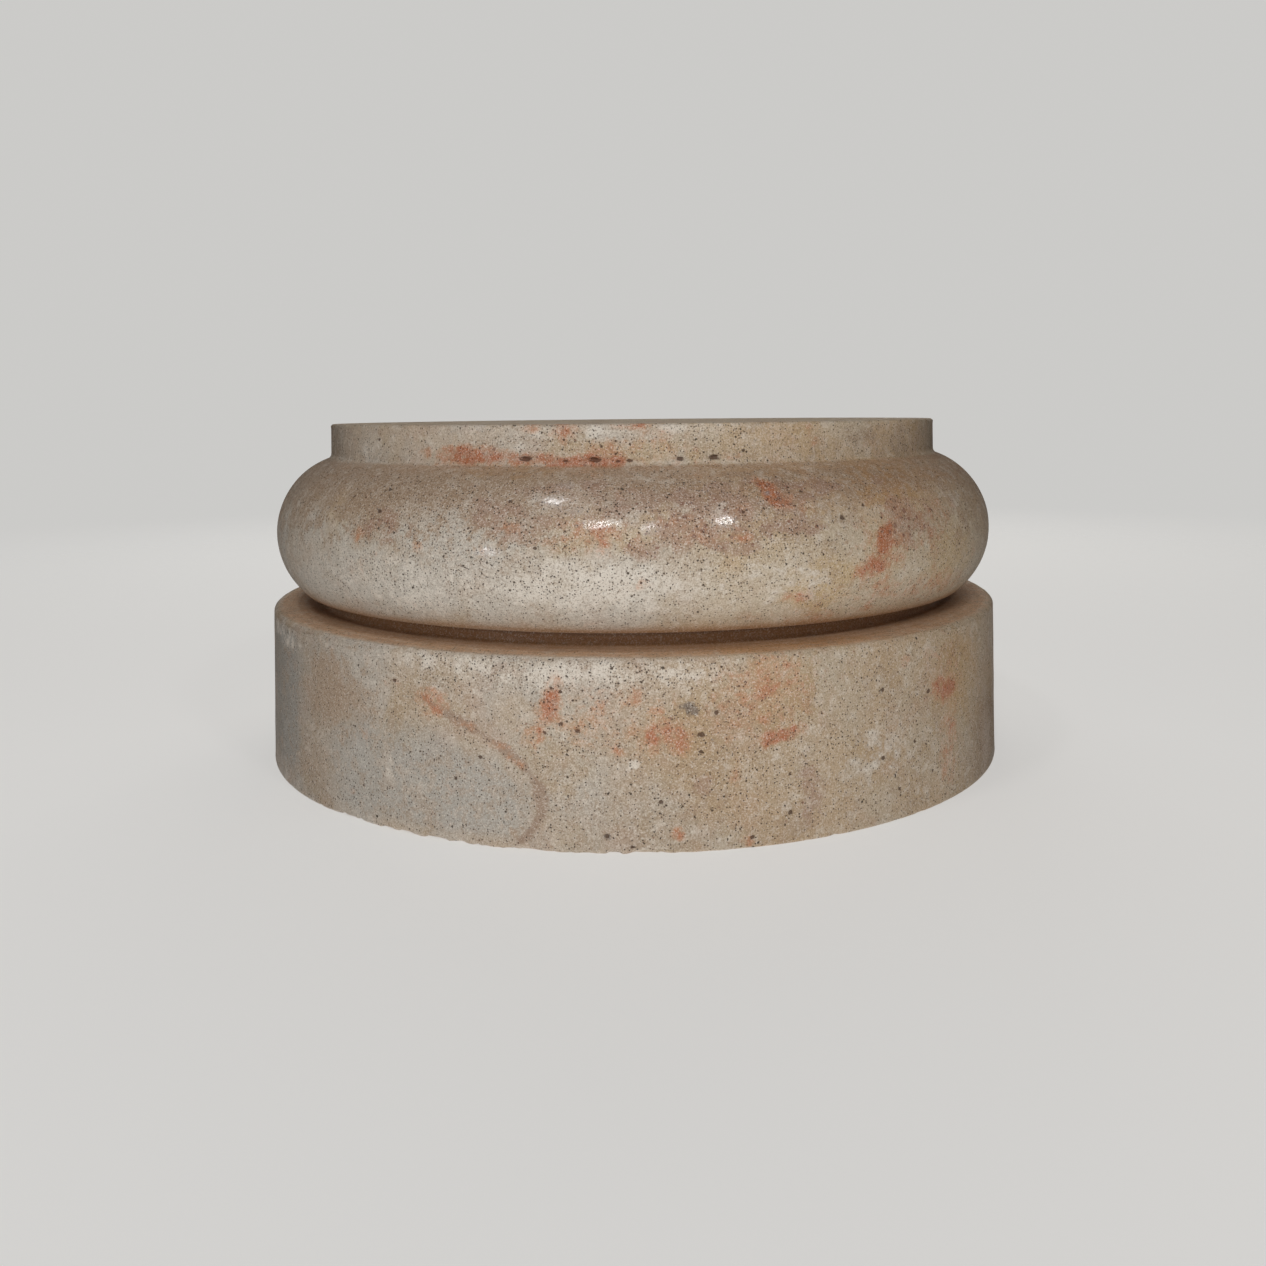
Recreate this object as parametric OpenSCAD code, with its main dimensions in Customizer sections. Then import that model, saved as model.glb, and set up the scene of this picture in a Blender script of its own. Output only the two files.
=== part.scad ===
// Round column base, turned and carved from one block of limestone: a disc plinth, a narrow
// neck, a bold torus, and a plain listel whose flat bed carries the shaft.
// Millimetres, +Z up, origin at the centre of the underside. The front faces -Y.

/* [Plinth] */
// Diameter of the disc plinth
plinth_d = 520; // [400:5:700]
// Height of the plinth from the underside to its upper face
plinth_h = 105; // [70:1:170]
// Radius of the rounded upper arris of the plinth
plinth_arris = 3.5; // [1:0.5:8]
// Radius of the worn lower arris of the plinth
foot_arris = 2; // [1:0.5:5]

/* [Neck] */
// How far the neck stands back from the face of the plinth
neck_setback = 35; // [31:1:45]
// Height of the neck between the plinth and the torus
neck_h = 9; // [4:0.5:16]
// Radius of the small cove where the neck meets the plinth
neck_cove = 2.5; // [1:0.5:3.5]

/* [Torus] */
// Radius of the torus section
torus_r = 54; // [42:1:66]
// How far the face of the torus stands back from the face of the plinth
torus_setback = 2.3; // [0:0.1:8]
// Height of the full torus section that is cut away where it meets the neck
torus_sunk = 12.5; // [9:0.5:18]
// Radius at which the torus turns in to its flat soffit
torus_lip = 4; // [1:0.5:7]

/* [Listel] */
// How far the listel stands back from the face of the plinth
listel_setback = 39.5; // [30:0.5:48]
// Height of the listel's upright face, up to the bed
listel_h = 20.5; // [12:0.5:40]
// Radius of the cove where the listel springs from the torus
listel_cove = 4; // [2:0.5:7]
// Radius of the worn arris round the bed
bed_arris = 1.5; // [0.5:0.5:4]

/* [Chips] */
// How large every chip is, against the size it was found at
chip_size = 1; // [0.5:0.1:1.5]

/* [Hidden] */

$fn = 96;
lap = 0.01;

plinth_r = plinth_d / 2;
neck_r = plinth_r - neck_setback;
neck_top = plinth_h + neck_h;

// Centre of the torus section.
torus_x = plinth_r - torus_setback - torus_r;
torus_z = neck_top + torus_r - torus_sunk;

// Centre of the lip that rounds the torus into its soffit, and the height where it leaves the torus.
lip_z = neck_top + torus_lip;
lip_drop = torus_z - lip_z;
lip_x = torus_x + sqrt(pow(torus_r - torus_lip, 2) - pow(lip_drop, 2));
lip_top = torus_z - lip_drop * torus_r / (torus_r - torus_lip);

// Centre of the cove between torus and listel. It bites a hair into the torus, for a crisp line.
cove_bite = 0.1;
listel_r = plinth_r - listel_setback;
cove_x = listel_r + listel_cove;
cove_z = torus_z + sqrt(pow(torus_r + listel_cove - cove_bite, 2) - pow(cove_x - torus_x, 2));
bed_z = cove_z + listel_h;

// The wedge that the cove is cut from starts this far inside the listel, at this height.
wedge_x = listel_r - 1;
wedge_z = torus_z + (cove_z - torus_z) * (wedge_x - torus_x) / (cove_x - torus_x);

// Chips, each as [angle from +X in degrees, radius of the ball that bites it out, depth].
foot_chips = [
    [-131.5, 15, 2.2], [-128, 11, 2.0], [-119, 8, 1.4], [-114, 9, 1.2], [-100, 10, 1.8],
    [-94, 9, 2.0], [-87.5, 12, 2.2], [-84, 9, 1.6], [-68.5, 7, 1.3], [-64.5, 6, 2.2],
    [-62, 8, 1.0], [-38, 9, 1.5], [-12, 13, 2.6], [7, 8, 1.6], [31, 10, 2.0],
    [52, 14, 3.2], [58, 9, 2.0], [88, 8, 1.4], [104, 12, 2.4], [131, 9, 1.8],
    [149, 15, 3.0], [156, 8, 1.6], [178, 10, 2.2], [201, 9, 1.5]
];
plinth_chips = [[-124, 8, 1.1], [22, 12, 2.2], [97, 9, 1.5], [163, 10, 1.8]];
bed_chips = [[-103, 8, 0.9], [14, 9, 1.6], [73, 12, 2.4], [118, 8, 1.2], [171, 10, 1.7]];

// Disc from the underside to the upper face, with both outer arrises rounded.
module plinth_section() {
    square([plinth_r - foot_arris, foot_arris + lap]);
    translate([plinth_r - foot_arris, foot_arris]) circle(foot_arris);
    translate([0, foot_arris]) square([plinth_r, plinth_h - foot_arris - plinth_arris]);
    translate([plinth_r - plinth_arris, plinth_h - plinth_arris]) circle(plinth_arris);
    translate([0, plinth_h - plinth_arris - lap]) square([plinth_r - plinth_arris, plinth_arris + lap]);
}

// Straight neck with a small cove at its foot.
module neck_section() {
    translate([0, plinth_h - lap]) square([neck_r, neck_h + 2 * lap]);
    difference() {
        translate([neck_r - lap, plinth_h - lap]) square(neck_cove + lap);
        translate([neck_r + neck_cove, plinth_h + neck_cove]) circle(neck_cove);
    }
}

// Half-round torus on a solid core, rounded in to a level soffit above the neck.
module torus_section() {
    intersection() {
        translate([torus_x, torus_z]) circle(torus_r, $fn = 192);
        translate([0, lip_top]) square([plinth_r, 2 * torus_r]);
    }
    translate([lip_x, lip_z]) circle(torus_lip);
    translate([0, neck_top]) square([lip_x, lip_top - neck_top + lap]);
    translate([0, lip_top]) square([torus_x, torus_z - lip_top]);
}

// Plain band under the shaft, springing from the torus in a cove.
module listel_section() {
    translate([0, torus_z - lap]) square([listel_r, bed_z - torus_z - bed_arris + lap]);
    translate([0, bed_z - bed_arris - lap]) square([listel_r - bed_arris, bed_arris + lap]);
    translate([listel_r - bed_arris, bed_z - bed_arris]) circle(bed_arris);
    difference() {
        polygon([[wedge_x, wedge_z], [cove_x, cove_z], [wedge_x, cove_z]]);
        translate([cove_x, cove_z]) circle(listel_cove);
    }
}

// Bites out of the arris of radius r at height z; up is 1 for an upper arris and -1 for a lower one.
module chips(list, r, z, up) {
    for (c = list) {
        ball = c[1] * chip_size;
        reach = (ball - c[2] * chip_size) / sqrt(2);
        rotate([0, 0, c[0]]) translate([r + reach, 0, z + up * reach]) sphere(ball);
    }
}

module column_base() {
    color("tan") difference() {
        rotate_extrude($fn = 180) {
            plinth_section();
            neck_section();
            torus_section();
            listel_section();
        }
        chips(foot_chips, plinth_r, 0, -1);
        chips(plinth_chips, plinth_r, plinth_h, 1);
        chips(bed_chips, listel_r, bed_z, 1);
    }
}

column_base();
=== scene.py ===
from math import asin, cos, pi, radians, sin, sqrt

import bpy
import numpy as np
from mathutils import Matrix, Vector


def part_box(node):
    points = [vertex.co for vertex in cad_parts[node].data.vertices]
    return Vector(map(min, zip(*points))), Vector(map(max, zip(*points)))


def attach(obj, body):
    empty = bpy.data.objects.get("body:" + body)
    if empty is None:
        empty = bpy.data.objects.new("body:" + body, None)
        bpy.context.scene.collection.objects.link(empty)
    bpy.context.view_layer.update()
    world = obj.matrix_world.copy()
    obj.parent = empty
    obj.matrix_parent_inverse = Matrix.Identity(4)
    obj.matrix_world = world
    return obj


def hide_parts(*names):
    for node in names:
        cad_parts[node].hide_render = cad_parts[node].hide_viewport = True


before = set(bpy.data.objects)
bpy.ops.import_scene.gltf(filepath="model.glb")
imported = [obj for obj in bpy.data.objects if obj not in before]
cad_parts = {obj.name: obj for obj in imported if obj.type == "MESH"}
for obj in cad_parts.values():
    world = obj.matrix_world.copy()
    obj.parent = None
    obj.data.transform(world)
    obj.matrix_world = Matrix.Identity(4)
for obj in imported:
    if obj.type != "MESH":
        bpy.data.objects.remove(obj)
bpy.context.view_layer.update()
stoneLow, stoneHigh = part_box("column_base")
print("frame loaded: stone is %.1f mm across and %.1f mm high"
      % ((stoneHigh.x - stoneLow.x) * 1000, stoneHigh.z * 1000))


def cornerValue(ix, iy, iz, seed):
    # repeatable noise: one value from 0 to 1 for each whole-number corner of a cubic lattice
    with np.errstate(over="ignore"):
        h = (ix.astype(np.uint64) * np.uint64(0x9E3779B97F4A7C15)
             ^ iy.astype(np.uint64) * np.uint64(0xC2B2AE3D27D4EB4F)
             ^ iz.astype(np.uint64) * np.uint64(0x165667B19E3779F9)
             ^ np.uint64(seed * 7919 + 17))
        h ^= h >> np.uint64(29)
        h *= np.uint64(0xBF58476D1CE4E5B9)
        h ^= h >> np.uint64(32)
        h *= np.uint64(0x94D049BB133111EB)
        h ^= h >> np.uint64(31)
    return (h >> np.uint64(40)).astype(float) / float(1 << 24)


def smoothNoise(points, size, seed):
    # values at the eight corners round each point, blended by the smooth curve 3t^2 - 2t^3; -1 to 1
    p = points / size
    low = np.floor(p)
    t = p - low
    t = t * t * (3 - 2 * t)
    low = low.astype(np.int64)
    total = 0.0
    for dx in (0, 1):
        for dy in (0, 1):
            for dz in (0, 1):
                share = (np.where(dx, t[..., 0], 1 - t[..., 0])
                         * np.where(dy, t[..., 1], 1 - t[..., 1])
                         * np.where(dz, t[..., 2], 1 - t[..., 2]))
                total = total + share * cornerValue(low[..., 0] + dx, low[..., 1] + dy,
                                                    low[..., 2] + dz, seed)
    return total * 2 - 1


def layeredNoise(points, size, seed, layers=3):
    # each layer is half the size and half the strength of the one before; about -1 to 1
    strengths = 0.5 ** np.arange(layers)
    total = sum(strength * smoothNoise(points, size / 2 ** k, seed + 31 * k)
                for k, strength in enumerate(strengths))
    return total / strengths.sum() * 1.4


def smoothStep(low, high, x):
    # 0 below low, 1 above high, the smooth curve 3t^2 - 2t^3 between
    t = np.clip((x - low) / (high - low), 0, 1)
    return t * t * (3 - 2 * t)


def between(start, full, fading, end, x):
    # rises from start to full and falls again from fading to end
    return smoothStep(start, full, x) * (1 - smoothStep(fading, end, x))


def roundFrom(az, angle, radius):
    # distance round the stone from an angle in degrees, the short way
    return (((az - angle + 180) % 360) - 180) * pi / 180 * radius


stoneBase = {                       # millimetres, the same sizes as the frame
    "plinthRadius": 260.0, "plinthHeight": 105.0, "plinthArris": 3.5, "footArris": 2.0,
    "neckSetback": 35.0, "neckHeight": 9.0, "neckCove": 2.5,
    "torusRadius": 54.0, "torusSetback": 2.3, "torusSunk": 12.5, "torusLip": 4.0,
    "listelSetback": 39.5, "listelHeight": 20.5, "listelCove": 4.0, "coveBite": 0.1,
    "bedArris": 1.5,
    "around": 432,                  # points round the stone
    "frontBias": 0.38,              # how much closer they lie at the front than at the back
    "rowStep": 1.7,                 # distance between rows on the open faces
    "fineStep": 0.75,               # and in the coves and on the arrises
    "poleRing": 30, "edgeBand": 14, # the innermost ring, and the width of the flat faces' outer bands
    "corner": 0.4,                  # the narrow rows that keep the neck's upper corner sharp
    "waviness": 0.45,               # how far the hand-dressed faces wander inwards
    "longWave": 46, "shortWave": 13,    # and the size of their waves
    "seed": 11,
}


def stoneRuns(s):
    # the outline from the centre of the underside, out and up, to the centre of the bed:
    # straight runs (radius, height) and arcs (centre, radius, from, to), each with its row step
    rim = s["plinthRadius"]
    neckR = rim - s["neckSetback"]
    neckTop = s["plinthHeight"] + s["neckHeight"]
    torusX = rim - s["torusSetback"] - s["torusRadius"]
    torusZ = neckTop + s["torusRadius"] - s["torusSunk"]
    lipZ = neckTop + s["torusLip"]
    lipX = torusX + sqrt((s["torusRadius"] - s["torusLip"]) ** 2 - (torusZ - lipZ) ** 2)
    lipAngle = -asin((torusZ - lipZ) / (s["torusRadius"] - s["torusLip"]))
    listelR = rim - s["listelSetback"]
    coveX = listelR + s["listelCove"]
    coveZ = torusZ + sqrt((s["torusRadius"] + s["listelCove"] - s["coveBite"]) ** 2
                          - (coveX - torusX) ** 2)
    meet = pi / 2 - asin((coveX - torusX) / (s["torusRadius"] + s["listelCove"] - s["coveBite"]))
    bedZ = coveZ + s["listelHeight"]
    arris, foot, bedArris, cove = s["plinthArris"], s["footArris"], s["bedArris"], s["neckCove"]
    top = s["plinthHeight"]
    coarse, fine = s["rowStep"], s["fineStep"]
    pole, band, corner = s["poleRing"], s["edgeBand"], s["corner"]
    runs = [
        ("line", (pole, 0), (rim - band, 0), 55),  # under
        ("line", (rim - band, 0), (rim - foot, 0), 2.4),  # under
        ("arc", (rim - foot, foot), foot, -pi / 2, 0, fine),  # foot
        ("line", (rim, foot), (rim, 9), 0.9),  # side
        ("line", (rim, 9), (rim, top - arris), coarse),  # side
        ("arc", (rim - arris, top - arris), arris, 0, pi / 2, fine),  # arris
        ("line", (rim - arris, top), (neckR + cove, top), 2.2),  # ledge
        ("arc", (neckR + cove, top + cove), cove, -pi / 2, -pi, 0.9),  # ledge
        ("line", (neckR, top + cove), (neckR, neckTop - corner), 2.0),  # neck
        ("line", (neckR, neckTop - corner), (neckR, neckTop), corner),  # neck
        ("line", (neckR, neckTop), (neckR + corner, neckTop), corner),  # soffit
        ("line", (neckR + corner, neckTop), (lipX, neckTop), 2.4),  # soffit
        ("arc", (lipX, lipZ), s["torusLip"], -pi / 2, lipAngle, fine),  # lip
        ("arc", (torusX, torusZ), s["torusRadius"], lipAngle, radians(60), coarse),  # torus
        ("arc", (torusX, torusZ), s["torusRadius"], radians(60), meet, fine),  # torus
        ("arc", (coveX, coveZ), s["listelCove"], meet - pi, -pi, fine),  # cove
        ("line", (listelR, coveZ), (listelR, coveZ + 4), fine),  # listel
        ("line", (listelR, coveZ + 4), (listelR, bedZ - bedArris), 1.5),  # listel
        ("arc", (listelR - bedArris, bedZ - bedArris), bedArris, 0, pi / 2, 0.6),  # bed
        ("line", (listelR - bedArris, bedZ), (listelR - band, bedZ), 2.2),  # bed
        ("line", (listelR - band, bedZ), (pole, bedZ), 14),  # bed
    ]
    return runs, bedZ


def stoneOutline(s):
    # rows of radius, height, outward normal and length along the outline, which is 0 at the foot
    runs, bedZ = stoneRuns(s)
    r, z = [], []
    for kind, *run in runs:
        if kind == "line":
            (r0, z0), (r1, z1), step = run
            count = max(1, round(sqrt((r1 - r0) ** 2 + (z1 - z0) ** 2) / step))
            t = np.linspace(0, 1, count + 1)
            newR, newZ = r0 + (r1 - r0) * t, z0 + (z1 - z0) * t
        else:
            (cx, cz), radius, a0, a1, step = run
            count = max(2, round(abs(a1 - a0) * radius / step))
            a = np.linspace(a0, a1, count + 1)
            newR, newZ = cx + radius * np.cos(a), cz + radius * np.sin(a)
        first = 1 if r else 0           # a run's first row is the last one's end
        r += list(newR[first:])
        z += list(newZ[first:])
    r, z = np.array(r), np.array(z)
    dr, dz = np.gradient(r), np.gradient(z)
    long = np.hypot(dr, dz)
    along = np.concatenate([[0], np.cumsum(np.hypot(np.diff(r), np.diff(z)))])
    underside = slice(0, 12)            # the rows where the radius only grows
    along -= np.interp(s["plinthRadius"] - s["footArris"], r[underside], along[underside])
    return r, z, dz / long, -dr / long, along, bedZ


# Places on the stone are degrees round from the front, to the right, and millimetres along the outline from
# the foot: the plinth's side to 103, its arris to 108, the ledge to 137, the neck to 148, the soffit to 159,
# the lip to 162, the torus to 273, the cove to 278, the listel to 297, its arris to 299, then the bed.

# chips at the arrises: degrees round from the front, radius of the ball that bites, depth
footChips = [(-41.5, 15, 2.2), (-38, 11, 2.0), (-29, 8, 1.4), (-24, 9, 1.2), (-10, 10, 1.8),
             (-4, 9, 2.0), (2.5, 12, 2.2), (6, 9, 1.6), (21.5, 7, 1.3), (25.5, 6, 2.2),
             (28, 8, 1.0), (52, 9, 1.5), (78, 13, 2.6), (97, 8, 1.6), (121, 10, 2.0),
             (142, 14, 3.2), (148, 9, 2.0), (178, 8, 1.4), (194, 12, 2.4), (221, 9, 1.8),
             (239, 15, 3.0), (246, 8, 1.6), (268, 10, 2.2), (291, 9, 1.5)]
plinthChips = [(-34, 8, 1.1), (112, 12, 2.2), (187, 9, 1.5), (253, 10, 1.8)]
bedChips = [(-13, 8, 0.9), (104, 9, 1.6), (163, 12, 2.4), (208, 8, 1.2), (261, 10, 1.7)]

# open pits: degrees round, length along the outline, half width, half height, depth
pits = [
    (-16.2, 278.4, 3.6, 1.5, 2.1), (-10, 277.2, 1.7, 0.9, 1.2), (-5.6, 277.8, 3.4, 1.4, 2.2),
    (-2, 277.0, 1.5, 0.9, 1.2), (-0.3, 277.2, 1.8, 0.9, 1.2), (7.1, 277.8, 2.6, 1.2, 1.5),
    (12.4, 278.4, 3.6, 1.7, 1.9), (-46, 289, 1.5, 1.2, 1.2), (-36, 234, 1.6, 1.3, 1.6),
    (-36, 249, 1.5, 1.3, 1.4), (-16, 243, 1.3, 1.0, 1.2), (-12, 216, 1.2, 1.0, 1.0),
    (28, 229, 1.5, 2.0, 1.8), (23, 247, 1.2, 1.1, 1.2), (32, 236, 1.2, 1.0, 1.0),
    (14, 235, 1.1, 1.2, 1.0), (7.9, 64, 2.0, 1.5, 2.0), (7.8, 55, 1.3, 1.2, 1.4),
    (9.8, 75.6, 1.3, 1.3, 1.4), (-6.8, 67, 1.7, 1.5, 1.8), (-8.8, 70.6, 1.6, 1.4, 1.6),
    (-10.8, 65.6, 1.2, 1.2, 1.2), (39, 44, 1.2, 1.1, 1.2), (33, 39, 1.3, 1.3, 1.4),
    (43, 23, 1.6, 1.4, 1.6), (36, 19, 1.2, 1.2, 1.2), (19, 39, 1.1, 1.0, 1.0), (19, 18, 1.4, 1.4, 1.4),
    (14, 7, 1.5, 1.3, 1.4), (-3.4, 11, 2.0, 1.4, 1.2), (-0.4, 5, 1.7, 1.1, 1.1), (33, 78, 1.4, 1.2, 1.2),
    (-22.4, 37, 1.1, 1.0, 1.0), (-19, 50, 1.1, 1.0, 1.0), (42, 71, 1.4, 1.2, 1.2),
    (-31.6, 87, 1.4, 1.1, 1.0), (-21, 226, 1.2, 1.0, 1.0), (3, 29, 1.1, 1.0, 1.0),
    (84, 60, 3.6, 2.6, 2.6), (117, 82, 2.6, 2.2, 2.2), (151, 30, 3.2, 2.6, 2.4),
    (176, 71, 4.0, 2.6, 2.6), (204, 46, 2.6, 2.2, 2.0), (233, 88, 3.0, 2.4, 2.2),
    (262, 34, 3.2, 2.2, 2.2), (95, 214, 3.0, 2.2, 2.2), (133, 240, 2.6, 2.2, 2.0),
    (168, 205, 3.4, 2.6, 2.4), (199, 232, 2.6, 2.2, 2.0), (229, 196, 2.8, 2.4, 2.0),
    (258, 243, 3.0, 2.2, 2.2), (150, 277.2, 4.6, 1.4, 2.4), (215, 277.2, 4.2, 1.3, 2.2),
    (87, 277.2, 4.4, 1.3, 2.2), (102, 25, 2.0, 1.8, 1.4), (188, 22, 1.8, 1.6, 1.4),
    (221, 62, 2.0, 1.7, 1.4), (246, 70, 1.8, 1.6, 1.2), (140, 58, 1.9, 1.7, 1.4),
]

# spots rubbed to a shine, which also carry a faint painted highlight, in the same measures, with no depth
shinyPlaces = [
    (-10.2, 243, 9, 4.5), (-9, 254, 6, 3.5), (-4.2, 229, 12, 3.5), (-18, 213, 9, 3.5),
    (2.3, 226.5, 6, 5), (11.3, 230, 9, 5.5), (-23.5, 298, 4, 2.5), (-24, 296, 4, 3),
    (18, 246, 3, 2), (-7, 236, 6, 3), (96, 236, 9, 5), (140, 224, 12, 5), (186, 240, 9, 5),
    (228, 228, 10, 5), (262, 236, 8, 4),
]


def gridFaces(rows, columns):
    # four corners of every cell, turned so that the normal points outwards, and a fan at each pole
    a = np.arange(rows - 1)[:, None] * columns + np.arange(columns)[None, :]
    b = np.arange(rows - 1)[:, None] * columns + (np.arange(columns)[None, :] + 1) % columns
    quads = np.stack([a, b, b + columns, a + columns], -1).reshape(-1, 4)
    ring = np.arange(columns)
    nextRing = (ring + 1) % columns
    lowPole, highPole = rows * columns, rows * columns + 1
    last = (rows - 1) * columns
    lowFan = np.stack([np.full(columns, lowPole), nextRing, ring], -1)
    highFan = np.stack([last + ring, last + nextRing, np.full(columns, highPole)], -1)
    return quads, np.concatenate([lowFan, highFan])


class Skin:
    # the stone's surface in millimetres: rows along the outline, columns round the axis
    def __init__(self, s):
        r, z, normalR, normalZ, along, self.bedHeight = stoneOutline(s)
        turn = np.arange(s["around"]) / s["around"] * 2 * pi
        bearing = turn - s["frontBias"] * np.sin(turn)      # columns crowd together at the front
        bearing = np.degrees(np.where(bearing > pi, bearing - 2 * pi, bearing))
        self.az = bearing[None, :] + np.zeros((len(r), 1))  # degrees round from the front, -180 to 180
        self.length = along[:, None] + 0 * self.az          # along the outline from the foot
        self.radius = r[:, None] + 0 * self.az
        self.height = z[:, None] + 0 * self.az
        self.outR, self.outZ = normalR[:, None], normalZ[:, None]
        self.points = self.placed()                         # noise is read here, before any wear
        self.onBed = smoothStep(296, 302, self.length)      # 1 on the bed, where no side counts

    def placed(self):
        turn = np.radians(self.az)
        return np.stack([self.radius * np.sin(turn), -self.radius * np.cos(turn), self.height], -1)

    def noise(self, size, seed, layers=3):
        return layeredNoise(self.points, size, seed, layers)

    def sink(self, depth):
        # inwards along the normal
        self.radius = self.radius - self.outR * depth
        self.height = self.height - self.outZ * depth

    def shave(self, over, up):
        # an arris cut back at 45 degrees, by the amount that stands over the cut
        self.radius = self.radius - over / 2
        self.height = self.height - over / 2 if up else self.height + over / 2


def dressFaces(skin, s):
    # hand-dressed faces: long and short waves, always inwards, none at the underside and the bed
    belowBed = 1 - smoothStep(skin.bedHeight - 3.5, skin.bedHeight - 1.0, skin.height)
    free = smoothStep(0.5, 6, skin.length) * belowBed
    inGroove = between(108, 124, 158, 170, skin.length)
    longWave = skin.noise(s["longWave"], s["seed"], 2)
    shortWave = smoothNoise(skin.points, s["shortWave"], s["seed"] + 9)
    wave = np.clip(0.5 + 0.5 * (0.6 * longWave + 0.4 * shortWave), 0, 1)
    skin.sink(s["waviness"] * wave * free * (1 - 0.7 * inGroove))


def wearArrises(skin, s):
    # the foot loses a band whose width changes, widest at the front left; the others are softened unevenly
    rim, seed = s["plinthRadius"], s["seed"]
    leftWear = between(-52, -36, 0, 12, skin.az)
    wear = 1.0 + 2.0 * leftWear + 0.8 * smoothNoise(skin.points, 30, seed + 21)
    wear = np.clip(wear + (0.6 + 1.5 * leftWear) * skin.noise(6, seed + 22), 0.2, 5.0)
    over = np.clip((skin.radius - skin.height) - (rim - wear), 0, None)
    skin.shave(over * (skin.height < 12) * (skin.radius > rim - 12), False)

    soft = np.clip(0.7 + 0.9 * skin.noise(16, seed + 31), 0, 2.4)
    over = np.clip((skin.radius + skin.height) - (rim + s["plinthHeight"] - 2.05 - soft * 0.8), 0, None)
    skin.shave(over * (np.abs(skin.height - s["plinthHeight"]) < 8) * (skin.radius > rim - 9), True)

    soft = np.clip(0.45 + 1.2 * skin.noise(8, seed + 41), 0, 2.6)
    bedRim = rim - s["listelSetback"]
    over = np.clip((skin.radius + skin.height) - (bedRim + skin.bedHeight - 0.9 - soft * 0.8), 0, None)
    skin.shave(over * (skin.height > skin.bedHeight - 6), True)


def bite(skin, where, chips, arrisR, arrisZ, up, seed):
    # a point inside a ball is pushed out on to its surface, in the plane through the axis
    radius, height = skin.radius, skin.height
    uneven = (0.10 * smoothNoise(skin.points, 4.5, seed + 3)
              + 0.05 * smoothNoise(skin.points, 2.2, seed + 5))
    for angle, ball, depth in chips:
        reach = (ball - depth) / sqrt(2)
        across = roundFrom(skin.az, angle, arrisR)
        size = ball * (1 + uneven)
        gapR = radius - (arrisR + reach)
        gapZ = height - (arrisZ + (reach if up else -reach))
        inPlane = np.sqrt(gapR ** 2 + gapZ ** 2)
        room = np.sqrt(np.clip(size ** 2 - across ** 2, 0, None))
        push = np.clip(room - inPlane, 0, None)
        radius = radius + gapR / inPlane * push
        height = height + gapZ / inPlane * push
    skin.radius, skin.height = np.where(where, radius, skin.radius), np.where(where, height, skin.height)


def chipArrises(skin, s):
    rim, seed = s["plinthRadius"], s["seed"]
    top, bed = s["plinthHeight"], skin.bedHeight
    bite(skin, skin.height < 20, footChips, rim, 0, False, seed + 60)
    nearTop = (np.abs(skin.height - top) < 9) & (skin.radius > rim - 12)
    bite(skin, nearTop, plinthChips, rim, top, True, seed + 70)
    bite(skin, skin.height > bed - 10, bedChips, rim - s["listelSetback"], bed, True, seed + 80)


def sinkPits(skin, s):
    # each pit is a bowl with a wandering edge
    edge = skin.noise(3.2, s["seed"] + 90, 2)
    depth = np.zeros_like(skin.az)
    for angle, at, wide, high, deep in pits:
        across = roundFrom(skin.az, angle, skin.radius) / wide
        reach = np.sqrt(across ** 2 + ((skin.length - at) / high) ** 2) + 0.22 * edge
        depth = np.maximum(depth, deep * np.sqrt(np.clip(1 - reach ** 2, 0, 1)))
    skin.sink(depth)


def skinMesh(name, skin, s):
    # nothing leaves the frame's box; two poles close the surface
    rim, bed = s["plinthRadius"], skin.bedHeight
    skin.height = np.clip(skin.height, 0, bed)
    skin.radius = np.clip(skin.radius, 0, rim)
    corners = np.concatenate([skin.placed().reshape(-1, 3), [[0, 0, 0], [0, 0, bed]]])
    size = Vector(stoneHigh) - Vector(stoneLow)
    corners *= np.array([size.x / (2 * rim), size.y / (2 * rim), size.z / bed])     # to the frame's metres

    quads, fans = gridFaces(len(skin.az), s["around"])
    loops = np.concatenate([quads.ravel(), fans.ravel()])
    starts = np.concatenate([np.arange(len(quads)) * 4, len(quads) * 4 + np.arange(len(fans)) * 3])
    mesh = bpy.data.meshes.new(name)
    mesh.vertices.add(len(corners))
    mesh.vertices.foreach_set("co", corners.astype(np.float32).ravel())
    mesh.loops.add(len(loops))
    mesh.loops.foreach_set("vertex_index", loops.astype(np.int32))
    mesh.polygons.add(len(starts))
    mesh.polygons.foreach_set("loop_start", starts.astype(np.int32))
    mesh.polygons.foreach_set("use_smooth", np.ones(len(starts), bool))
    mesh.update(calc_edges=True)
    mesh.validate()
    print("stone built: %d points, %d triangles" % (len(corners), len(quads) * 2 + len(fans)))
    return mesh


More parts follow.
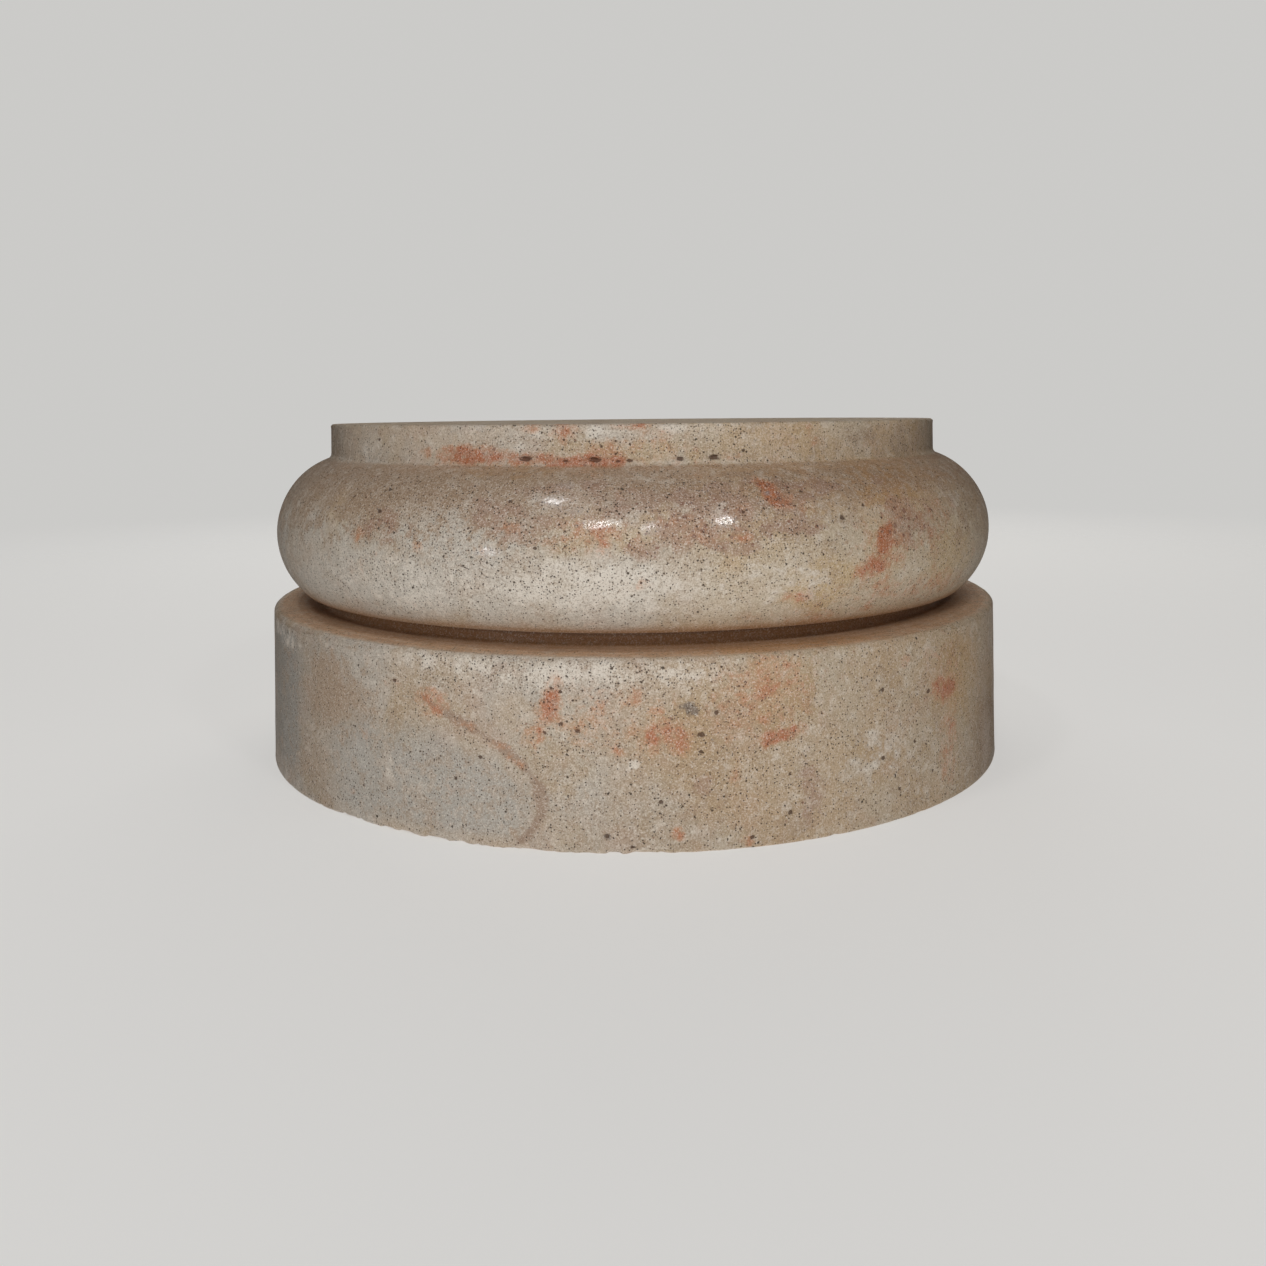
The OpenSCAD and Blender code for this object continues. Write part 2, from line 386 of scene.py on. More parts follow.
# stains and patches: degrees round, length along the outline, half width, half height, strength and,
# where they lean, the tilt in degrees
rustMarks = [
    (-3, 280, 50, 5, .30), (-17, 279, 26, 4, .35), (8, 279, 30, 5, .30), (-4, 222, 30, 9, .30),
    (8, 226, 26, 9, .28), (0, 72, 44, 18, .30), (16, 84, 30, 22, .40), (17.5, 90, 18, 12, .5),
    (46, 80, 20, 22, .30), (42, 226, 40, 22, .30), (-28, 276, 20, 3, .25), (-25, 280, 26, 4.8, 1.05),
    (-15, 278.5, 20, 3.8, .88), (-7, 277, 24, 3.8, 1.15), (-3, 283, 16, 6, .55), (3, 285, 11, 7, .4),
    (-15, 297, 5, 3, .6), (-10, 294, 7, 5, .7), (0, 297, 10, 2.5, .75), (27, 287, 13, 5, .3),
    (28, 294, 4, 3, .6), (-5, 223, 12, 6, .75), (-15, 227, 5, 4, .55), (-39, 220, 6, 5, .45),
    (18.4, 248, 4.6, 9, 1.65, 24), (20, 241, 5, 5, .8), (23, 236, 5, 4, .55),
    (34.3, 210, 8, 16, 1.0, -27), (35.2, 215, 4, 11, 1.25, -20), (32.6, 200, 10, 6, .95, 20),
    (35, 212, 22, 24, .40), (14, 236, 5, 5, .45), (13, 220, 8, 2, .7), (21, 185, 8, 4, .7),
    (29, 171, 51, 8, .32), (42, 182, 60, 9, .4), (43, 237, 13, 5, .3), (37, 241, 6, 7, .35),
    (-25.6, 76, 10, 6, .62, -30), (-20, 65, 13, 2.4, .40, -28), (-15.8, 54.5, 12, 2.4, .62, -32),
    (-10, 82, 4, 11, 1.1, -10), (-11.2, 68, 5, 8, .6, -10), (0, 85, 4, 7, .65), (-8, 66, 22, 9, .32),
    (-2, 57, 3, 4, .7), (4, 63, 12, 9, .85), (2, 64, 3.4, 4.4, 1.1), (15, 88, 23, 16, .62),
    (17, 83, 11, 6, .65), (18, 61, 10, 3.6, 1.15, 12), (46, 70, 13, 7, .8), (47, 69, 8, 5, .95),
    (47, 40, 8, 28, .5), (37, 91, 5, 3, .55), (12, 40, 3, 12, .4), (5, 11, 3, 3, .6),
    (-32, 85, 5, 2, .4), (13.5, 5, 3, 3, .6), (-28, 214, 4, 3, .4), (1, 196, 3, 3, .35),
    (78, 226, 12, 7, .6), (104, 62, 9, 14, .7, 20), (131, 84, 22, 8, .5), (146, 207, 7, 15, .8, -18),
    (171, 52, 10, 6, .7), (188, 234, 20, 6, .5), (197, 280, 28, 5, .6), (214, 71, 7, 12, .7),
    (238, 190, 12, 6, .6), (251, 47, 9, 9, .6), (273, 243, 8, 10, .6), (119, 279, 22, 4, .6),
    (287, 83, 14, 6, .6), (160, 20, 12, 4, .4), (96, 186, 26, 6, .4),
]
paleMarks = [
    (-14, 294, 5, 3, .6), (-6, 293, 9, 4, .8), (-17, 284, 9, 3, .5), (6, 296, 11, 3, .7),
    (13, 296, 12, 3, .5), (11, 236, 6, 5, .45), (15, 202, 11, 7, .55), (-31, 191, 62, 17, .5),
    (-5, 195, 64, 18, .7), (20, 192, 24, 12, .5), (-25, 100, 46, 8, .5), (-8, 97, 42, 8, .75),
    (5, 97, 24, 6, .65), (6, 87, 5, 4, .7), (0, 50, 4, 3, 1.0), (33, 44, 36, 20, .3),
    (-48, 283, 16, 6, .5), (-8, 54, 3, 2, .7), (-4, 52, 3, 2, .7), (-29, 31, 26, 10, .25),
    (-33, 40, 20, 16, .2), (92, 92, 40, 8, .6), (140, 196, 70, 16, .6), (190, 95, 50, 7, .6),
    (225, 30, 30, 14, .5), (262, 200, 50, 16, .5), (176, 30, 26, 16, .4), (300, 96, 40, 7, .5),
    (108, 30, 24, 16, .4),
]
brownMarks = [
    (61, 26, 16, 30, 1.0), (-43, 72, 44, 24, .80), (-49, 22, 20, 19, .4), (-18, 256, 37, 15, .45),
    (10, 256, 60, 12, .35), (48, 286, 71, 10, .45), (-50, 294, 68, 5, .3), (-12, 37, 4, 9, .5),
    (-14, 11, 7, 3, .5), (-33, 235, 44, 19, .40), (-41, 236, 14, 14, 1.0), (-38, 222, 16, 8, .8),
    (-31, 246, 16, 8, .6), (54, 213, 60, 19, .3), (13, 78, 24, 6, .5), (-30, 256, 60, 14, .4),
    (30, 250, 60, 16, .35), (26, 22, 30, 8, .25), (8, 28, 26, 16, .3), (96, 70, 50, 22, .45),
    (140, 250, 70, 16, .45), (172, 84, 44, 14, .4), (210, 236, 60, 18, .4), (240, 64, 44, 22, .45),
    (280, 240, 60, 18, .4), (205, 18, 30, 10, .35), (125, 14, 26, 8, .35),
]
amberMarks = [
    (-9, 60, 34, 26, .50), (5, 58, 36, 30, .65), (17.5, 84, 30, 22, .6), (50, 74, 30, 34, .95),
    (-3, 222, 52, 14, .75), (14, 222, 34, 18, .55), (38, 248, 34, 24, 1.0), (0, 283, 46, 7, .8),
    (10, 26, 40, 24, .40), (11.2, 205, 8, 11, .6), (34, 208, 24, 24, .5), (-30, 66, 30, 20, .35),
    (50, 198, 40, 26, .8), (24, 190, 30, 16, 1.0), (17, 91, 20, 12, .3), (4, 226, 24, 12, .8),
    (-36, 212, 40, 14, .3), (64, 40, 40, 40, .9), (-18, 266, 40, 9, .9), (-44, 236, 24, 20, .6),
    (22, 122, 70, 14, .9), (100, 60, 50, 34, .6), (150, 230, 60, 30, .6), (190, 50, 60, 34, .6),
    (240, 230, 60, 26, .6),
]
mauveMarks = [
    (-1, 236, 40, 14, .34), (10, 230, 34, 16, .40), (-14, 228, 30, 10, .38), (7, 244, 10, 6, .9),
    (5, 228, 12, 9, .85), (8, 222, 10, 5, .7), (13, 238, 13, 8, .85), (20, 225, 18, 6, .7),
    (13.5, 215, 16, 4, .5), (25, 251, 20, 6, .6), (39, 223, 26, 15, .62), (2, 215, 13, 7, .6),
    (20, 242, 18, 12, .6), (-18, 236, 18, 8, .45), (-35, 226, 26, 10, .45), (-5, 254, 8, 7, .5),
    (7, 240, 8, 4, .6), (6, 228, 8, 4, .6), (22, 29, 10, 20, .28), (3, 219, 8, 4, .45),
    (37, 252, 8, 5, .35), (8, 38, 7, 8, .35), (-12, 250, 18, 6, .35), (12, 250, 16, 10, .4),
    (110, 226, 16, 8, .4), (155, 60, 14, 12, .4), (230, 224, 18, 8, .4), (268, 76, 16, 10, .4),
]
greyMarks = [
    (6.4, 78, 7, 6, 1.1), (9, 61, 3, 2, .5), (33, 78, 3, 2, .5), (-3, 11, 4, 3, .6),
    (-22, 30, 4, 8, .25), (117, 82, 6, 4, .7), (176, 71, 7, 5, .7), (262, 34, 6, 4, .6),
]
# veins, as points on a drawn line: degrees round, length along the outline
veinPath = [(-27, 80), (-24, 73), (-20.5, 66), (-17, 58.5), (-14.4, 51), (-12.4, 42), (-11.2, 33),
            (-11.0, 24), (-12.0, 14), (-14, 6)]
backVein = [(138, 96), (143, 80), (150, 66), (160, 56), (171, 49), (181, 36), (186, 20), (187, 2)]

awayFromMarks = 12.0                # what a point away from every pit or shiny place reads
bedWarmth, bedPores = 0.6, 0.5      # the warm and the pored shares on the bed


def markField(marks, skin, seed, rough=0.7, grow=1.0):
    # the edge of each mark wanders with noise, the strongest mark wins, and the bed stays clear
    wanderA, wanderB = skin.noise(9.0, seed), skin.noise(9.0, seed + 50)
    field = np.zeros_like(skin.az)
    for angle, place, wide, high, strength, *tilt in marks:
        wide, high = wide * grow, high * grow
        turn = radians(tilt[0]) if tilt else 0.0
        u = roundFrom(skin.az, angle, skin.radius) + wanderA * rough * min(wide, 14)
        v = skin.length - place + wanderB * rough * min(high, 14)
        u, v = u * cos(turn) + v * sin(turn), v * cos(turn) - u * sin(turn)
        reach = np.sqrt((u / wide) ** 2 + (v / high) ** 2)
        field = np.maximum(field, strength * (1 - smoothStep(0.25, 1.45, reach)))
    return field * (1 - smoothStep(299, 306, skin.length))


def nearestPlace(marks, skin):
    # across and up from the nearest mark, in its own half sizes, so an edge stays sharp between points;
    # the third number is large away from every mark, so nothing shows where the nearest one changes
    nearest, edge = np.full(skin.az.shape, 1e9), np.full(skin.az.shape, 1e9)
    across, up = np.zeros(skin.az.shape), np.zeros(skin.az.shape)
    for angle, place, wide, high, *_ in marks:
        u = roundFrom(skin.az, angle, skin.radius)
        v = skin.length - place
        reach = np.hypot(u, v)
        nearer = reach < nearest
        nearest = np.where(nearer, reach, nearest)
        edge = np.where(nearer, max(5.2, 1.8 * max(wide, high)), edge)
        across, up = np.where(nearer, u / wide, across), np.where(nearer, v / high, up)
    return np.stack([across, up, np.where(nearest > edge, awayFromMarks, 0.0)], -1)


def veinField(path, skin, az, drawnRadius, wide, seed):
    # distance from a drawn line of (degrees round, length along the outline) points, softened at its edges
    wander = skin.noise(14.0, seed) * 2.2
    x = az * pi / 180 * skin.radius
    nearest = np.full_like(az, 1e9)
    for (a0, s0), (a1, s1) in zip(path[:-1], path[1:]):
        x0, x1 = a0 * pi / 180 * drawnRadius, a1 * pi / 180 * drawnRadius
        lengthSquared = (x1 - x0) ** 2 + (s1 - s0) ** 2
        t = np.clip(((x - x0) * (x1 - x0) + (skin.length - s0) * (s1 - s0)) / lengthSquared, 0, 1)
        nearest = np.minimum(nearest, np.hypot(x - x0 - t * (x1 - x0), skin.length - s0 - t * (s1 - s0)))
    return 1 - smoothStep(wide * 0.4, wide * 1.5, nearest + wander)


def paintedEdgeShade(skin):
    # painted shade: the plinth is a little darker than the torus, and all grows darker towards its two
    # edges, where the light falls off
    az, length = skin.az, skin.length
    edges = smoothStep(50, 70, np.abs(az)) * (1 - 0.7 * smoothStep(80, 104, np.abs(az)))
    farLeft = between(38, 50, 84, 104, -az)
    lowRight = between(46, 62, 84, 104, az) * (1 - smoothStep(30, 70, length))
    frontLow = between(-12, 0, 10, 24, az) * (1 - smoothStep(60, 84, length))
    plinth = between(1, 4, 103, 108, length)
    plinth = plinth * (0.18 + 0.40 * edges + 0.30 * farLeft + 0.55 * lowRight + 0.10 * frontLow)
    torus = (0.36 + 0.14 * (1 - smoothStep(180, 215, length))) * edges * smoothStep(150, 160, length)
    listel = 0.95 * edges * between(274, 279, 297, 301, length)
    return np.maximum(np.maximum(plinth, torus), listel) * (1 - skin.onBed)


def coolSheenAndGreyTone(skin, seed):
    # a painted cool sheen in a strip at the far left, and the stone's own grey below the vein
    az, length = skin.az, skin.length
    farLeft = 1 - smoothStep(-56, -51.5, az + 1.2 * skin.noise(16, seed + 600, 2))
    farLeft = farLeft * smoothStep(-88, -70, az) * between(8, 22, 96, 104, length)
    veinLine = np.minimum(76 - 2.3 * (az + 27), 70)
    below = smoothStep(0, 16, veinLine - length + 3 * skin.noise(18, seed + 610, 2))
    below = below * between(-50, -38, -15, -11, az) * smoothStep(3, 12, length)
    return np.maximum(farLeft, 0.62 * below)


def poredTone(skin, seed):
    # where the fine pores crowd: the front of the torus, under the plinth's arris, the listel, the plinth
    az, length = skin.az, skin.length
    pored = 0.44 + 0.40 * between(176, 200, 252, 264, length) * between(-50, -38, 16, 30, az)
    pored = np.maximum(pored, 0.95 * between(80, 90, 104, 108, length) * between(-36, -24, 8, 20, az))
    pored = np.maximum(pored, 0.8 * smoothStep(276, 280, length) * between(-32, -24, 16, 26, az))
    pored = np.maximum(pored, 0.6 * between(4, 12, 84, 96, length) * between(-20, -8, 20, 32, az))
    behind = smoothStep(86, 110, np.abs(az))
    pored = np.maximum(pored, behind * (0.5 + 0.5 * skin.noise(80, seed + 800, 2)))
    return np.clip(pored + (bedPores - pored) * skin.onBed, 0, 1)


def warmTone(skin, seed):
    # warmer to the right, and in broad drifts behind
    az = skin.az
    behind = smoothStep(100, 140, np.abs(az))
    warm = (0.85 * smoothStep(-3, 15, az) + 0.25 * smoothStep(34, 62, az)) * (1 - behind)
    warm = warm + (0.55 + 0.35 * skin.noise(120, seed + 700, 2)) * behind
    return np.clip(warm + (bedWarmth - warm) * skin.onBed, 0, 1.3)


def paintTones(mesh, skin, s):
    # stains and zones, painted on the stone in its own measures
    az, length, seed = skin.az, skin.length, s["seed"]

    def keep(name, values, atPoles=0.0):
        store = mesh.attributes.new(name, "FLOAT", "POINT")
        flat = np.concatenate([np.broadcast_to(values, az.shape).ravel(), [atPoles, atPoles]])
        store.data.foreach_set("value", flat.astype(np.float32))

    def keepPlace(name, marks):
        places = nearestPlace(marks, skin).reshape(-1, 3)
        places = np.concatenate([places, [[0, 0, awayFromMarks], [0, 0, awayFromMarks]]])
        store = mesh.attributes.new(name, "FLOAT_VECTOR", "POINT")
        store.data.foreach_set("vector", places.astype(np.float32).ravel())

    keepPlace("pitPlaceA", pits[0::2])      # neighbours lie in different lists
    keepPlace("pitPlaceB", pits[1::2])
    keepPlace("shinePlaceA", shinyPlaces[0::2])
    keepPlace("shinePlaceB", shinyPlaces[1::2])

    keep("rust", markField(rustMarks, skin, seed + 100, 0.35, 1.35))
    veins = np.maximum(veinField(veinPath, skin, az, s["plinthRadius"], 2.4, seed + 150),
                       veinField(backVein, skin, (az + 360) % 360, s["plinthRadius"], 2.6, seed + 160))
    keep("vein", veins * between(0, 3, 98, 103, length))
    keep("pale", markField(paleMarks, skin, seed + 200))
    keep("brown", markField(brownMarks, skin, seed + 300))
    keep("mauve", markField(mauveMarks, skin, seed + 400))
    keep("grey", markField(greyMarks, skin, seed + 500, 0.25))
    keep("amber", markField(amberMarks, skin, seed + 550))

    keep("olive", between(222, 252, 272, 276, length))
    lowLeft = between(5, 20, 30, 60, length) * between(-46, -36, -16, -10, az)
    keep("greyer", np.maximum(between(164, 176, 212, 236, length), lowLeft))
    keep("coolSheenAndGrey", coolSheenAndGreyTone(skin, seed))
    keep("warm", warmTone(skin, seed), bedWarmth)
    # the groove's mask carries painted shade, and a painted shadow line where the neck meets the soffit
    corner = between(143, 146, 152, 157, length)        # where the neck meets the soffit
    keep("groove", between(112, 136, 160, 170, length) + 0.4 * corner)
    keep("dirty", between(205, 224, 262, 272, length) * (0.55 + 0.45 * smoothStep(10, -14, az)))
    keep("ledge", between(106, 111, 140, 146, length))
    # painted shade towards the stone's edges, kept on the points
    keep("dim", paintedEdgeShade(skin))
    keep("pored", poredTone(skin, seed), bedPores)


def buildStone(s):
    skin = Skin(s)
    dressFaces(skin, s)
    wearArrises(skin, s)
    chipArrises(skin, s)
    sinkPits(skin, s)
    mesh = skinMesh("stoneBase", skin, s)
    paintTones(mesh, skin, s)
    piece = bpy.data.objects.new("stoneBase", mesh)
    bpy.context.scene.collection.objects.link(piece)
    return piece


class Wire:
    # an output socket; arithmetic on it adds Math nodes
    tree = None

    def __init__(self, socket):
        self.socket = socket

    @classmethod
    def node(cls, kind, settings=None, sockets=None, output=0):
        # settings first, then what its sockets hold or are joined to
        made = cls.tree.nodes.new(kind)
        for name, value in (settings or {}).items():
            setattr(made, name, value)
        for name, value in (sockets or {}).items():
            socket = made.inputs[name]
            if isinstance(value, Wire):
                cls.tree.links.new(value.socket, socket)
            elif isinstance(value, tuple) and len(value) == 3 and socket.type == "RGBA":
                socket.default_value = (*value, 1.0)
            else:
                socket.default_value = value
        return cls(made.outputs[output]) if len(made.outputs) else made

    @classmethod
    def join(cls, operation, a, b=0.0, clamp=False):
        return cls.node("ShaderNodeMath", {"operation": operation, "use_clamp": clamp}, {0: a, 1: b})

    def __add__(self, other):
        return self.join("ADD", self, other)

    def __sub__(self, other):
        return self.join("SUBTRACT", self, other)

    def __mul__(self, other):
        return self.join("MULTIPLY", self, other)

    def __rsub__(self, other):
        return self.join("SUBTRACT", other, self)

    __radd__ = __add__
    __rmul__ = __mul__

    def atMost(self, other):
        return self.join("MINIMUM", self, other)

    def atLeast(self, other):
        return self.join("MAXIMUM", self, other)

    def clamped(self):
        return self.join("ADD", self, 0.0, True)

    def other(self, name):
        # another output of the same node
        return Wire(self.socket.node.outputs[name])


def rise(low, high, x):
    # 0 below low, 1 above high, a smooth curve between
    return Wire.node("ShaderNodeMapRange", {"interpolation_type": "SMOOTHSTEP", "clamp": True},
                     {0: x, 1: low, 2: high, 3: 0.0, 4: 1.0})


def clouds(place, sizeMm, detail=2.0, roughness=0.5, bend=0.0):
    # Blender's noise, with its size given in millimetres; 0 to 1, mostly 0.3 to 0.7
    return Wire.node("ShaderNodeTexNoise", {"noise_dimensions": "3D"},
                     {"Vector": place, "Scale": 1000.0 / sizeMm, "Detail": detail,
                      "Roughness": roughness, "Distortion": bend})


def emptyMaterial(name):
    # a material with no nodes yet, which the next nodes are wired into
    material = bpy.data.materials.new(name)
    material.use_nodes = True
    material.node_tree.nodes.clear()
    Wire.tree = material.node_tree
    return material


def blend(share, a, b, how="MIX"):
    # colours a and b mixed by share
    return Wire.node("ShaderNodeMix", {"data_type": "RGBA", "blend_type": how},
                     {0: share, 6: a, 7: b}, 2)


def layer(name):
    # a tone painted on the stone's points
    return Wire.node("ShaderNodeAttribute", {"attribute_name": name}, {}, "Fac")


def reachOf(place):
    # how long a vector is
    return Wire.node("ShaderNodeVectorMath", {"operation": "LENGTH"}, {0: place}, "Value")


def stretched(place, sx, sy, sz, shift=0.0):
    # a pattern's place, multiplied in each direction, so a larger number makes it finer
    return Wire.node("ShaderNodeMapping", {"vector_type": "POINT"},
                     {"Vector": place, "Scale": (sx, sy, sz), "Location": (shift, shift * 0.7, shift * 1.3)})


def shifted(place, shift):
    # the same pattern read somewhere else, so that two uses of it don't match
    return stretched(place, 1, 1, 1, shift)


limestone = {                        # linear colours
    "cream": (0.575, 0.46, 0.345), "greyPale": (0.575, 0.52, 0.45), "ochre": (0.52, 0.395, 0.255),
    "pink": (0.55, 0.395, 0.305), "olive": (0.42, 0.27, 0.17), "brown": (0.40, 0.275, 0.18),
    "rust": (0.59, 0.26, 0.105), "deepRust": (0.46, 0.138, 0.046), "mauve": (0.385, 0.225, 0.155),
    "chalk": (0.82, 0.75, 0.66), "coolGrey": (0.465, 0.45, 0.415), "slate": (0.17, 0.135, 0.11),
    # the pore and pit colours on the next line paint shade inside the holes
    "pore": (0.055, 0.036, 0.022), "pitBrown": (0.10, 0.056, 0.036), "veinBrown": (0.34, 0.225, 0.155),
    "redPore": (0.14, 0.06, 0.034), "redGrain": (0.25, 0.10, 0.058), "amberTint": (0.965, 0.85, 0.645),
    # the darkening tint on the next line is painted shade towards the edges
    "edgeShadeTint": (0.46, 0.40, 0.35), "glintPaint": (0.74, 0.73, 0.76), "darkGrain": (0.27, 0.185, 0.12),
    # the groove colours on the next line paint shade in the groove and a shadow line under the soffit; the
    # brown also draws turning lines
    "grooveBrown": (0.42, 0.21, 0.088), "grooveShadow": (0.16, 0.085, 0.045),
    # the ledge's tan on the next line is painted light
    "paintedLedgeLight": (0.74, 0.46, 0.265), "plainTint": (1.0, 1.0, 1.0), "warmTint": (1.03, 0.93, 0.77),
    "roughness": 0.52, "shine": 0.08, "specular": 0.5, "ringCrowding": 260.0,
}


class Patterns:
    # the noises and painted tones that the limestone's layers share
    def __init__(self):
        self.place = Wire.node("ShaderNodeTexCoord", {}, {}, "Object")
        self.far = shifted(self.place, 3.7)
        self.broad = clouds(self.place, 60, 4, 0.55, 0.3)
        self.drift = clouds(self.far, 34, 5, 0.6, 0.6)
        self.mottle = clouds(self.far, 12, 6, 0.6, 0.5)
        self.fleck = clouds(self.place, 4.6, 4, 0.6)
        self.grain = clouds(self.far, 2.0, 3, 0.7)
        self.dust = clouds(self.place, 0.9, 3, 0.7)
        self.lines = clouds(stretched(self.place, 4, 4, 300), 1000, 4, 0.65)
        self.rust, self.mauve, self.coolSheenAndGrey = layer("rust"), layer("mauve"), layer("coolSheenAndGrey")
        self.olive, self.greyer, self.groove = layer("olive"), layer("greyer"), layer("groove")
        self.pored, self.ledge, self.amber = layer("pored"), layer("ledge"), layer("amber")
        # how strongly each level of noise breaks up an edge
        self.breakUp = ((self.mottle - 0.5) * 1.5 + (self.fleck - 0.5) * 1.0 + (self.grain - 0.5) * 0.35)
        self.amberShare = rise(0.05, 0.95, self.amber + self.breakUp * 0.5) * rise(0.02, 0.25, self.amber)

    def ragged(self, field, low, high, share=1.0):
        # a painted field whose edge wanders and feathers
        return rise(low, high, field + self.breakUp * share) * rise(0.02, 0.25, field)

    def spot(self, name, low, high, share):
        # 1 inside the nearest listed spot, with an edge that wanders with the grain
        away = Wire.node("ShaderNodeAttribute", {"attribute_name": name}, {}, "Vector")
        wander = ((self.grain - 0.5) * 1.3 + (self.fleck - 0.5) * 1.3) * share
        return 1 - rise(low, high, reachOf(away) + wander)


def holes(where, sizeMm, wanted, most, uneven):
    # round holes at scattered points: each has its own chance, which gives its radius or leaves it out
    reach = Wire.node("ShaderNodeTexVoronoi", {"feature": "F1"},
                      {"Vector": where, "Scale": 1000.0 / sizeMm, "Randomness": 1.0}, "Distance")
    chance = Wire.node("ShaderNodeSeparateColor", {}, {0: reach.other("Color")})
    radius = ((chance - 0.5) * 1.6 + wanted).atMost(most)
    return 1 - rise(-0.14, 0.14, reach * sizeMm + uneven - radius)


def groundTone(p, c):
    # cream drifting to pale grey, ochre and a little pink, olive on the torus, warmer at the right
    tone = blend(rise(0.40, 0.66, p.broad + p.greyer * 0.12), c["cream"], c["greyPale"])
    tone = blend(rise(0.46, 0.68, p.drift) * 0.8, tone, c["ochre"])
    tone = blend(rise(0.50, 0.70, clouds(p.far, 26, 4, 0.6, 0.4)) * 0.5, tone, c["pink"])
    tone = blend(rise(0.46, 0.66, p.mottle) * 0.5, tone, c["greyPale"])
    tone = blend(p.greyer * 0.55, tone, c["greyPale"])
    oliveShare = (p.olive * (0.85 + (p.lines - 0.5) * 1.6 + (p.mottle - 0.5) * 1.2)).clamped()
    tone = blend(oliveShare * 0.95, tone, c["olive"])
    # cool grey: a painted sheen at the far left, and the stone's own grey below the vein
    tone = blend(p.coolSheenAndGrey, tone, c["coolGrey"])
    tint = blend(layer("warm").clamped(), c["plainTint"], c["warmTint"])
    return blend(1.0, tone, tint, "MULTIPLY")


def levelFaceTone(p, c, tone):
    # painted light: the ledge a brighter, warmer tan for the light the torus throws down on it, with turning
    # lines that follow the distance from the axis
    tone = blend(p.ledge * 0.85, tone, c["paintedLedgeLight"])
    fromAxis = reachOf(stretched(p.place, 1, 1, 0))
    ringPlace = Wire.node("ShaderNodeCombineXYZ", {}, {
        0: fromAxis * c["ringCrowding"], 1: p.broad * 3.0, 2: p.mottle * 1.2})
    rings = clouds(ringPlace, 1000, 4, 0.7)
    tone = blend(p.ledge * rise(0.47, 0.60, rings) * 0.42, tone, c["grooveBrown"])
    return blend(p.ledge * (1 - rise(0.38, 0.48, rings)) * 0.30, tone, c["chalk"])


def weatheredAndShadedTone(p, c, tone):
    # amber zones and painted shade that darkens towards the edges, then brown and pale patches of a few
    # millimetres
    tone = blend(p.amberShare, tone, blend(1.0, tone, c["amberTint"], "MULTIPLY"))
    # painted shade: darker towards the stone's edges
    tone = blend(layer("dim"), tone, blend(1.0, tone, c["edgeShadeTint"], "MULTIPLY"))
    dirty = layer("dirty")
    patches = rise(0.49, 0.60, p.mottle * 0.4 + p.fleck * 0.6 + (p.drift - 0.5) * 0.4 + dirty * 0.06)
    tone = blend(patches * (0.46 + dirty * 0.40), tone, c["brown"])
    paleCloud = clouds(shifted(p.place, 9.1), 7.0, 5, 0.65, 0.4)
    pallor = rise(0.50, 0.66, paleCloud + (p.fleck - 0.5) * 0.3)
    return blend((pallor * (0.36 - p.amberShare * 0.18 - p.coolSheenAndGrey * 0.42)).clamped(), tone, c["chalk"])


def stainedTone(p, c, tone):
    # the listed marks, the rust broken up by grains, and painted shade in the groove with a painted shadow
    # line under the soffit
    tone = blend(p.ragged(layer("brown"), 0.05, 0.85) * 0.8, tone, c["brown"])
    tone = blend(p.ragged(p.mauve, 0.0, 0.60) * 0.74, tone, c["mauve"])
    tone = blend(p.ragged(layer("pale"), 0.10, 0.95, 1.4) * 0.72, tone, c["chalk"])
    tone = blend(p.ragged(layer("vein"), 0.10, 0.9, 0.8) * 0.80, tone, c["veinBrown"])
    rustTone = blend(rise(0.30, 1.05, p.rust + p.breakUp * 0.9), c["rust"], c["deepRust"])
    grainy = rise(0.36, 0.58, p.fleck * 0.55 + p.grain * 0.45)
    tone = blend(p.ragged(p.rust, 0.05, 1.10, 1.25) * (0.50 + grainy * 0.50), tone, rustTone)
    strayRust = rise(0.58, 0.74, clouds(p.far, 16, 6, 0.7)) * rise(0.46, 0.60, p.broad)
    tone = blend(strayRust * 0.5, tone, c["rust"])
    redSpots = holes(shifted(p.place, 5.3), 5.2, p.mauve * 2.3 + p.rust * 0.8 - 0.42, 1.45,
                     (p.grain - 0.5) * 2.2 + (p.fleck - 0.5) * 1.8)
    tone = blend(redSpots * 0.82, tone, c["redGrain"])
    tone = blend(p.ragged(layer("grey"), 0.30, 0.80, 1.7) * 0.85, tone, c["slate"])
    # painted shade: the groove darker brown, streaked with turning lines, then a painted shadow line where
    # the neck meets the soffit
    streaky = 0.92 - rise(0.40, 0.62, p.lines) * 0.34
    tone = blend(p.groove.atMost(1.0) * streaky, tone, c["grooveBrown"])
    return blend(rise(1.02, 1.35, p.groove) * 0.7, tone, c["grooveShadow"])


def speckledTone(p, c, tone):
    # pale and dark sand grains, strongest where the stone is open
    speck = (p.grain - 0.5) * 0.45 + (p.dust - 0.5) * 1.6 + (p.fleck - 0.5) * 0.2
    sandy = 0.40 + p.pored * 0.42
    tone = blend(rise(0.0, 0.30, speck) * sandy, tone, c["chalk"])
    return blend(rise(0.0, 0.30, 0.0 - speck) * (sandy + 0.06), tone, c["darkGrain"])


def poreHoles(p):
    # four sizes of pore, the fine ones crowding in places
    want = clouds(p.place, 24, 3, 0.6) - 0.5 + (p.pored - 0.5) * 0.7 - p.groove
    dust, grain, fleck = (p.dust - 0.5) * 0.7, p.grain - 0.5, p.fleck - 0.5
    fine = holes(p.place, 1.55, want * 0.9 + 0.06, 0.40, dust * 0.7)
    middling = holes(shifted(p.place, 2.2), 3.1, want * 1.5 - 0.16, 0.58, dust + grain * 1.2)
    wide = holes(p.far, 5.4, want * 1.3 - 0.36, 0.86, dust + grain * 1.6 + fleck * 0.8)
    rare = holes(p.far, 12.0, want * 0.8 - 0.10, 1.25, dust + grain * 1.8 + fleck * 1.6)
    return fine, middling, wide, rare


